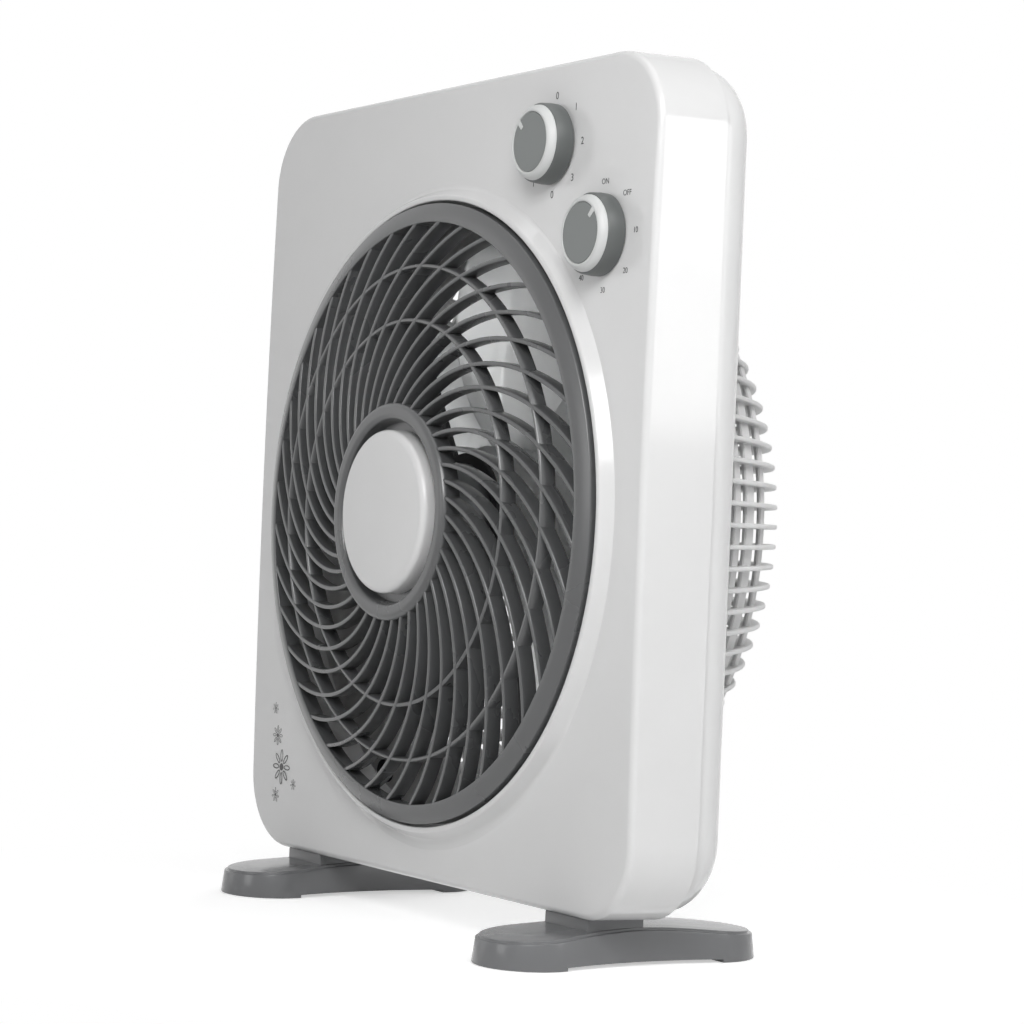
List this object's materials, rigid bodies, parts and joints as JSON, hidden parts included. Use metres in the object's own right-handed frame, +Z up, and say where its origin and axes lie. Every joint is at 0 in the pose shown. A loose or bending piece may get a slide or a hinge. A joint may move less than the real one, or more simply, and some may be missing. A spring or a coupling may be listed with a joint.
{
  "type": "box fan",
  "caption": "Upright box fan with a turning spiral louvre grille, a bowl of level fins behind the blades, a speed knob, a timer knob and flat feet.",
  "frame": {"origin": "on the floor, under the middle of the whole fan", "axes": "+Z up, -Y out of the front with the knobs, +X to the right seen from the front"},
  "size_m": [0.3518, 0.164, 0.4019],
  "materials": {
    "white_plastic": "satin moulded plastic",
    "grey_plastic": "fine satin grey plastic",
    "pale_plastic": "pale grey moulded plastic",
    "black_plastic": "black moulded plastic",
    "steel": "zinc-plated steel",
    "laminated_steel": "stacked sheet steel",
    "motor_cover": "pressed sheet metal",
    "winding": "enamelled copper wire",
    "bronze": "sintered bronze bush"
  },
  "bodies": {
    "housing": {"front_housing": "white_plastic", "rear_housing": "white_plastic", "rear_guard": "white_plastic", "left_foot": "grey_plastic", "right_foot": "grey_plastic", "housing_screws": "steel", "foot_screws": "steel", "cord_gland": "black_plastic", "motor_front_cover": "motor_cover", "motor_rear_cover": "motor_cover", "stator_core": "laminated_steel", "stator_coils": "winding", "front_bearing": "bronze", "rear_bearing": "bronze", "motor_bolts": "steel", "grille_bracket": "black_plastic", "grille_motor": "motor_cover", "speed_switch": "black_plastic", "timer_movement": "black_plastic", "run_capacitor": "black_plastic"},
    "fan": {"impeller": "pale_plastic", "motor_shaft": "steel", "rotor": "laminated_steel", "impeller_nut": "black_plastic"},
    "grille": {"front_grille": "grey_plastic", "hub_cap": "white_plastic", "grille_shaft": "steel"},
    "speed_dial": {"speed_knob": "grey_plastic", "speed_spindle": "black_plastic"},
    "timer_dial": {"timer_knob": "grey_plastic", "timer_spindle": "steel"}
  },
  "joints": [
    {"name": "impeller_spin", "type": "hinge", "parent": "housing", "child": "fan", "pos_m": [0, 0, 0.196], "axis": [0, 1, 0], "continuous": true},
    {"name": "grille_spin", "type": "hinge", "parent": "housing", "child": "grille", "pos_m": [0, -0.055, 0.196], "axis": [0, 1, 0], "continuous": true},
    {"name": "speed_turn", "type": "hinge", "parent": "housing", "child": "speed_dial", "pos_m": [0.0925, -0.05, 0.364], "axis": [0, 1, 0], "continuous": true},
    {"name": "timer_turn", "type": "hinge", "parent": "housing", "child": "timer_dial", "pos_m": [0.136, -0.05, 0.3203], "axis": [0, 1, 0], "range_deg": [-45, 270]}
  ]
}
